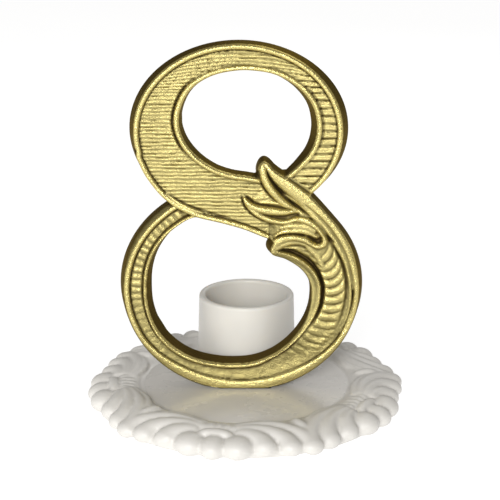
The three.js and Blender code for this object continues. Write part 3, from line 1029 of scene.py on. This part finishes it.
    def relax(self, piece, face, rim, near_edge):
        """Evens out the grid next to the outline, so that its rows run along it."""
        pairs = np.empty(len(piece.data.edges) * 2, int)
        piece.data.edges.foreach_get("vertices", pairs)
        a, b = pairs.reshape(-1, 2).T
        count = np.bincount(a, minlength=len(face)) + np.bincount(b, minlength=len(face))
        near_edge[rim] = False
        for _ in range(8):
            for axis in (0, 1):
                value = face[:, axis]
                total = np.bincount(a, value[b], len(face)) + np.bincount(b, value[a], len(face))
                face[near_edge, axis] = (total / count)[near_edge]

    def drawn_in(self, x, z):
        """The back outline, drawn in by the small bevel of the back edge."""
        reach = 0.05
        value = inside_figure(x, z, 1.0)
        slope_x = (inside_figure(x + reach, z, 1.0) - value) / reach
        slope_z = (inside_figure(x, z + reach, 1.0) - value) / reach
        size = np.maximum(np.hypot(slope_x, slope_z), 0.5)
        back_z = z + BACK_BEVEL * slope_z / size
        return x + BACK_BEVEL * slope_x / size, np.maximum(back_z, FOOT_LINE)

    def back_faces(self, corners, sides, first):
        """Triangles that fill the flat back between the outlines of the figure and its holes."""
        flat = [Vector((corner[0], corner[2])) for corner in corners]
        found, _, triangles, origins, _, _ = delaunay_2d_cdt(flat, sides, [], 1, 1e-9)
        middles = np.array([
            [sum(found[n].x for n in triangle) / 3, sum(found[n].y for n in triangle) / 3]
            for triangle in triangles
        ])
        drawn_z = (middles[:, 1] - FIGURE_LOW.z) / MM + FOOT_LINE
        metal = inside_figure(middles[:, 0] / MM, drawn_z, 1.0) > 0
        return [
            tuple(first + origins[n][0] for n in triangle)
            for triangle, kept in zip(triangles, metal.tolist()) if kept
        ]


# ------------------------------------------------------------------ base


def polar(turn, radius, height):
    """A point at a turn from the front of the base, clockwise from above negative, in metres."""
    return Vector((radius * math.sin(turn), -radius * math.cos(turn), height)) * MM


# Leaves and bands of half an ornament unit, rooted at the bow. Each row gives the turn from the
# bow in degrees, radius, height of the middle, and half width.
LEAVES = [
    [(7.5, 62.2, 8.2, 2.0), (13.0, 62.8, 7.9, 3.2), (17.2, 65.6, 6.7, 4.4), (19.0, 69.2, 4.7, 5.2),
     (19.6, 73.6, 2.8, 5.7)],
    [(7.5, 59.6, 8.9, 1.8), (15.5, 59.2, 8.8, 2.6), (22.6, 61.8, 8.0, 3.4), (27.0, 66.2, 6.4, 4.3),
     (28.4, 70.8, 4.3, 5.0), (28.8, 75.0, 2.6, 5.4)],
    [(7.5, 57.2, 9.0, 1.6), (15.5, 55.8, 9.0, 2.1), (23.6, 56.8, 8.9, 2.6), (29.8, 60.4, 8.2, 3.1),
     (34.3, 65.6, 6.7, 3.8), (36.0, 71.0, 4.4, 4.7), (36.0, 76.5, 2.5, 5.1)],
    [(6.5, 55.0, 8.6, 1.3), (13.5, 53.2, 8.5, 1.7), (20.0, 52.4, 8.4, 1.9), (25.5, 53.6, 8.4, 1.9),
     (30.4, 56.8, 8.4, 1.9), (33.8, 60.8, 8.0, 1.8), (35.4, 64.4, 7.3, 1.5)],
]
MIDDLE_LEAVES = [
    # flap in the middle of the fan
    [(36.0, 52.6, 8.6, 0.8), (36.0, 56.4, 9.2, 2.0), (36.0, 61.0, 8.6, 2.7), (36.0, 65.0, 7.0, 2.0)],
    # small leaves that fringe the bow
    [(0.0, 53.0, 8.0, 1.1), (0.0, 56.5, 8.4, 1.8), (0.0, 61.0, 8.6, 1.7)],
]
PAIRED_LEAVES = [
    [(4.2, 53.4, 8.0, 1.1), (3.8, 56.8, 8.4, 1.8), (3.0, 61.0, 8.6, 1.7)],
    [(8.0, 54.4, 8.0, 1.1), (7.2, 57.6, 8.4, 1.9), (5.8, 61.4, 8.6, 1.7)],
]
STRAP = [(-7.0, 65.6, 7.4, 1.6), (-4.2, 64.0, 8.4, 2.2), (0.0, 63.7, 8.7, 2.4), (4.2, 64.0, 8.4, 2.2),
         (7.0, 65.6, 7.4, 1.6)]
# Bow: (turn, radius, height, half sizes across, along the radius and up)
BULBS = [
    (8.9, 68.9, 4.2, 7.1, 7.0, 5.1),
    (-8.9, 68.9, 4.2, 7.1, 7.0, 5.1),
    (0.0, 69.2, 3.9, 6.0, 7.2, 5.0),
]
FLATNESS = 0.74  # height of a leaf's section over its width
UNDERSIDE = 0.6
DISC_HEIGHT = 7.0
DISC_RADIUS = 49.6
POCKET_HEIGHT = 2.3  # of the recess that takes the pad
POCKET_GAP = 0.3
# Bed that the leaves grow from, as (radius, height) from the middle of the top to the underside
BED = [
    (0.0, 7.0), (49.8, 7.0), (50.8, 7.3), (52.4, 8.3), (55.0, 8.9), (59.0, 8.9), (63.0, 8.0), (66.4, 6.4),
    (69.6, 4.6), (72.0, 3.0), (72.4, 1.6), (71.6, 0.6), (66.3, 0.6), (66.3, 2.3), (0.0, 2.3),
]


def add_leaf(first_bow, side, rows, section):
    """A tapered round-ended tube along a line of the ornament."""
    corners = [(math.radians(turn), radius, height, half) for turn, radius, height, half in rows]
    line = spline(corners, steps=7)
    places = [polar(first_bow + side * turn, radius, height) for turn, radius, height, _ in line]
    halves = line[:, 3] * MM
    gaps = [0.0]
    for before, after in zip(places, places[1:]):
        gaps.append(gaps[-1] + (after - before).length)
    curve = bpy.data.curves.new("leaf", "CURVE")
    curve.dimensions = "3D"
    curve.twist_mode = "Z_UP"
    curve.bevel_mode = "OBJECT"
    curve.bevel_object = section
    curve.use_fill_caps = True
    path = curve.splines.new("POLY")
    path.points.add(len(places) - 1)
    for point, place, half, gap in zip(path.points, places, halves, gaps):
        left = min(gap, gaps[-1] - gap) / half
        round_end = math.sqrt(max(0.02, 1 - (1 - min(1, left)) ** 2))
        point.co = (*place, 1)
        point.radius = half * round_end / MM
    leaf = bpy.data.objects.new("leaf", curve)
    bpy.context.collection.objects.link(leaf)
    make_active(leaf)
    bpy.ops.object.convert(target="MESH")
    return bpy.context.object


def add_bulb(first_bow, turn, radius, height, across, along, up):
    deselect_all()
    bow = first_bow + math.radians(turn)
    bpy.ops.mesh.primitive_uv_sphere_add(
        segments=40, ring_count=24, radius=1, location=polar(bow, radius, height), rotation=(0, 0, bow),
    )
    bulb = bpy.context.object
    bulb.scale = (across * MM, along * MM, up * MM)
    settle(bulb)
    return bulb


def turned_profile(name, profile, steps, place=(0, 0)):
    """Spins a profile of (radius, height) in millimetres about an upright axis."""
    deselect_all()
    mesh = bpy.data.meshes.new(name)
    corners = [(place[0] + radius * MM, place[1], height * MM) for radius, height in profile]
    mesh.from_pydata(corners, [(i, i + 1) for i in range(len(corners) - 1)], [])
    piece = bpy.data.objects.new(name, mesh)
    bpy.context.collection.objects.link(piece)
    make_active(piece)
    bpy.ops.object.mode_set(mode="EDIT")
    bpy.ops.mesh.select_all(action="SELECT")
    bpy.ops.mesh.spin(steps=steps, angle=math.tau, center=(place[0], place[1], 0), axis=(0, 0, 1))
    bpy.ops.object.mode_set(mode="OBJECT")
    outward(piece)
    return piece


class HOLDER_OT_base(bpy.types.Operator):
    """Models the white base with its ring of bows and leaf fans"""

    bl_idname = "holder.base"
    bl_label = "Base"

    def execute(self, context):
        settings = context.scene.holder_base
        deselect_all()
        bpy.ops.curve.primitive_bezier_circle_add(radius=MM)
        section = context.object
        section.scale = (1, FLATNESS, 1)
        bpy.ops.object.transform_apply(location=False, rotation=False, scale=True)
        grown = [turned_profile("bed", BED, 160)]
        for unit in range(settings.units):
            bow = settings.first_bow + unit * math.tau / settings.units
            for side in (-1, 1):
                grown += [add_leaf(bow, side, rows, section) for rows in LEAVES + PAIRED_LEAVES]
            grown += [add_leaf(bow, 1, rows, section) for rows in MIDDLE_LEAVES + [STRAP]]
            grown += [add_bulb(bow, *bulb) for bulb in BULBS]
        bpy.data.objects.remove(section)
        casting = join(grown, "base_casting")
        apply_modifier(casting, "REMESH", mode="VOXEL", voxel_size=settings.voxel)
        apply_modifier(casting, "SMOOTH", factor=0.5, iterations=5)
        points = points_of(casting)
        points[:, 2] = np.maximum(points[:, 2], UNDERSIDE * MM)
        radius = np.hypot(points[:, 0], points[:, 1])
        pocket = (radius < PAD_HIGH.x + POCKET_GAP * MM) & (points[:, 2] < POCKET_HEIGHT * MM)
        points[pocket, 2] = POCKET_HEIGHT * MM
        disc = (radius < DISC_RADIUS * MM) & (points[:, 2] > 5.5 * MM)
        points[disc, 2] = DISC_HEIGHT * MM
        set_points(casting, points)
        apply_modifier(casting, "SMOOTH", factor=0.4, iterations=1)
        self.mark_hollows(casting)
        smooth(casting, 60)
        finish_piece(casting, white_casting(settings), "white_casting", "base_rosette")
        return {"FINISHED"}

    def mark_hollows(self, casting):
        """Stores how deep each point lies between its neighbours, from the smoothed shape."""
        copy = casting.copy()
        copy.data = casting.data.copy()
        bpy.context.collection.objects.link(copy)
        apply_modifier(copy, "SMOOTH", factor=0.8, iterations=8)
        depth = points_of(copy) - points_of(casting)
        normals = np.empty(len(casting.data.vertices) * 3)
        casting.data.vertices.foreach_get("normal", normals)
        hollow = (depth * normals.reshape(-1, 3)).sum(1) / MM
        # This depth becomes the recess tint, painted shade that greys the casting in its hollows.
        tint = casting.data.attributes.new("painted_shade", "FLOAT", "POINT")
        tint.data.foreach_set("value", np.clip(0.12 + 1.2 * hollow, 0, 1).astype(np.float32))
        points = points_of(casting) / MM
        radius = np.hypot(points[:, 0], points[:, 1])
        disc = step(51.5, 49.0, radius) * step(5.0, 6.5, points[:, 2])
        polish = casting.data.attributes.new("polish", "FLOAT", "POINT")
        polish.data.foreach_set("value", disc.astype(np.float32))
        bpy.data.objects.remove(copy)


class HOLDER_OT_pad(bpy.types.Operator):
    """Models the felt pad under the base"""

    bl_idname = "holder.pad"
    bl_label = "Backing pad"

    def execute(self, context):
        settings = context.scene.holder_base
        deselect_all()
        radius = PAD_HIGH.x
        thickness = PAD_HIGH.z - PAD_LOW.z
        bpy.ops.mesh.primitive_cylinder_add(
            vertices=144, radius=radius, depth=thickness, location=(0, 0, thickness / 2),
            end_fill_type="NGON",
        )
        pad = new_piece("felt_pad")
        settle(pad)
        apply_modifier(pad, "BEVEL", width=0.0004, segments=3, limit_method="ANGLE")
        smooth(pad)
        finish_piece(pad, backing_felt(settings), "backing_felt", "base_pad")
        return {"FINISHED"}


# ------------------------------------------------------------------ cup


class HOLDER_OT_cup(bpy.types.Operator):
    """Turns the candle cup"""

    bl_idname = "holder.cup"
    bl_label = "Candle cup"

    def execute(self, context):
        settings = context.scene.holder_cup
        middle_x = (CUP_LOW.x + CUP_HIGH.x) / 2
        middle_y = (CUP_LOW.y + CUP_HIGH.y) / 2
        foot = (CUP_HIGH.x - CUP_LOW.x) / 2 / MM
        low, high = CUP_LOW.z / MM, CUP_HIGH.z / MM
        outer = foot - 1.1
        bore = outer - 3.4
        floor = low + 6
        profile = [
            (0, floor), (bore - 3.2, floor), (bore - 1.5, floor + 0.35), (bore - 0.65, floor + 1.3),
            (bore - 0.5, floor + 2.6), (bore - 0.25, (floor + high) / 2), (bore, high - 1.6),
            (bore + 0.1, high - 0.8), (bore + 0.5, high - 0.25), (bore + 1.2, high),
            (outer - 1.2, high), (outer - 0.45, high - 0.25), (outer - 0.08, high - 0.85),
            (outer, high - 1.8), (outer + 0.35, (low + high) / 2 + 3), (outer + 0.75, low + 9),
            (foot, low + 1), (foot - 0.05, low + 0.4), (foot - 0.4, low), (0, low),
        ]
        cup = turned_profile("cup", profile, settings.steps, (middle_x, middle_y))
        smooth(cup, 50)
        finish_piece(cup, cup_plastic(settings), "cup_plastic", "candle_cup")
        return {"FINISHED"}


class HOLDER_OT_fixings(bpy.types.Operator):
    """Gives the cement bed and the hidden screws their finishes"""

    bl_idname = "holder.fixings"
    bl_label = "Cement and screws"

    def execute(self, context):
        finishes = {"figure_cement_bed": cement()}
        steel = screw_steel()
        for name in ("cup_screw", "figure_screw_left", "figure_screw_right"):
            finishes[name] = steel
        for name, material in finishes.items():
            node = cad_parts[name]
            node.data.materials.clear()
            node.data.materials.append(material)
        return {"FINISHED"}


# ------------------------------------------------------------------ studio


# Soft lights as (name, place, point aimed at, width, height, power)
LIGHTS = [
    ("front_light", (-0.10, -0.68, 0.29), (0, 0, 0.07), 0.32, 0.24, 2.2),
    ("left_light", (-0.75, -0.50, 0.24), (0, 0, 0.05), 0.30, 0.30, 1.3),
    ("back_light", (0.30, 0.90, 0.70), (0, 0, 0.08), 0.50, 0.40, 1.6),
]
SUN = {"turn": (math.radians(64), 0, math.radians(-10)), "strength": 1.0, "spread": math.radians(16)}


class HOLDER_OT_studio(bpy.types.Operator):
    """Sets up the camera, the pale floor and the soft lights"""

    bl_idname = "holder.studio"
    bl_label = "Studio"

    def execute(self, context):
        settings = context.scene.holder_studio
        scene = context.scene
        deselect_all()
        bpy.ops.object.camera_add(location=settings.eye, rotation=(math.pi / 2 - settings.tilt, 0, 0))
        camera = context.object
        camera.name = "camera"
        camera.data.lens = settings.lens
        camera.data.sensor_width = 36
        scene.camera = camera
        deselect_all()
        bpy.ops.mesh.primitive_plane_add(size=30)
        floor = new_piece("floor")
        material, nodes, links, shader = new_material("floor_paper")
        tone = noise(nodes, links, 6, 2)
        pale = tuple(settings.floor)
        colour = ramp(nodes, links, tone, [(0.3, scaled(pale, 0.99)), (0.7, scaled(pale, 1.01))])
        links.new(colour, shader.inputs["Base Color"])
        shader.inputs["Roughness"].default_value = 0.9
        shader.inputs["Emission Color"].default_value = (1, 1, 1, 1)
        shader.inputs["Emission Strength"].default_value = settings.glow
        floor.data.materials.append(material)
        for name, place, target, width, height, power in LIGHTS:
            deselect_all()
            bpy.ops.object.light_add(type="AREA", location=place)
            light = context.object
            light.name = name
            light.data.shape = "RECTANGLE"
            light.data.size = width
            light.data.size_y = height
            light.data.energy = power
            aim = Vector(target) - Vector(place)
            light.rotation_euler = aim.to_track_quat("-Z", "Y").to_euler()
        deselect_all()
        bpy.ops.object.light_add(type="SUN", rotation=SUN["turn"])
        sun = context.object
        sun.name = "high_light"
        sun.data.energy = SUN["strength"]
        sun.data.angle = SUN["spread"]
        world = bpy.data.worlds.new("studio")
        world.use_nodes = True
        world.node_tree.nodes["Background"].inputs["Color"].default_value = (1.0, 0.98, 0.95, 1)
        world.node_tree.nodes["Background"].inputs["Strength"].default_value = 0.28
        scene.world = world
        scene.view_settings.view_transform = "Standard"
        return {"FINISHED"}


# ------------------------------------------------------------------ panel and registration


class HOLDER_PT_panel(bpy.types.Panel):
    bl_label = "Table number holder"
    bl_idname = "HOLDER_PT_panel"
    bl_space_type = "VIEW_3D"
    bl_region_type = "UI"
    bl_category = "Holder"

    def draw(self, context):
        for group in SETTINGS:
            settings = getattr(context.scene, group)
            for key in settings.bl_rna.properties.keys():
                if key not in ("rna_type", "name"):
                    self.layout.prop(settings, key)
        for operator in OPERATORS:
            self.layout.operator(operator.bl_idname)


SETTINGS = {
    "holder_figure": FigureSettings,
    "holder_base": BaseSettings,
    "holder_cup": CupSettings,
    "holder_studio": StudioSettings,
}
OPERATORS = (
    HOLDER_OT_studio,
    HOLDER_OT_base,
    HOLDER_OT_pad,
    HOLDER_OT_cup,
    HOLDER_OT_figure,
    HOLDER_OT_fixings,
)


def register():
    for settings in SETTINGS.values():
        bpy.utils.register_class(settings)
    for operator in OPERATORS:
        bpy.utils.register_class(operator)
    bpy.utils.register_class(HOLDER_PT_panel)
    for name, settings in SETTINGS.items():
        setattr(bpy.types.Scene, name, bpy.props.PointerProperty(type=settings))


def unregister():
    for name in SETTINGS:
        delattr(bpy.types.Scene, name)
    bpy.utils.unregister_class(HOLDER_PT_panel)
    for operator in reversed(OPERATORS):
        bpy.utils.unregister_class(operator)
    for settings in reversed(list(SETTINGS.values())):
        bpy.utils.unregister_class(settings)


def main():
    register()
    bpy.ops.holder.studio()
    bpy.ops.holder.base()
    bpy.ops.holder.pad()
    bpy.ops.holder.cup()
    bpy.ops.holder.figure()
    bpy.ops.holder.fixings()


if __name__ == "__main__":
    main()
